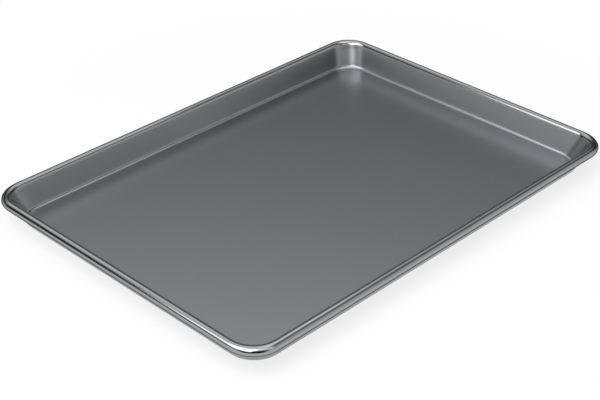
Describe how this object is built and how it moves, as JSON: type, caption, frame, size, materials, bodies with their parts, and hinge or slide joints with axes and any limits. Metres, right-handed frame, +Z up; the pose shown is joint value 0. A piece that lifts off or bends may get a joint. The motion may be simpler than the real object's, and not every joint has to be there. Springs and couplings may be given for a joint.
{
  "type": "sheet pan",
  "caption": "Shallow rectangular oven tray pressed from coated steel sheet, with a flat floor, low leaning walls, rounded corners and a rim rolled outwards round a reinforcing wire.",
  "frame": {"origin": "middle of the flat underside of the floor", "axes": "+X along the pan's length, +Y across its width, +Z up out of the tray's open top"},
  "size_m": [0.4572, 0.3302, 0.0254],
  "materials": {
    "coated_sheet": "satin dark grey metallic non-stick coating over aluminised steel sheet",
    "wire_steel": "drawn galvanised steel wire"
  },
  "bodies": {
    "root": {"pan_body": "coated_sheet", "rim_wire": "wire_steel"}
  },
  "joints": []
}
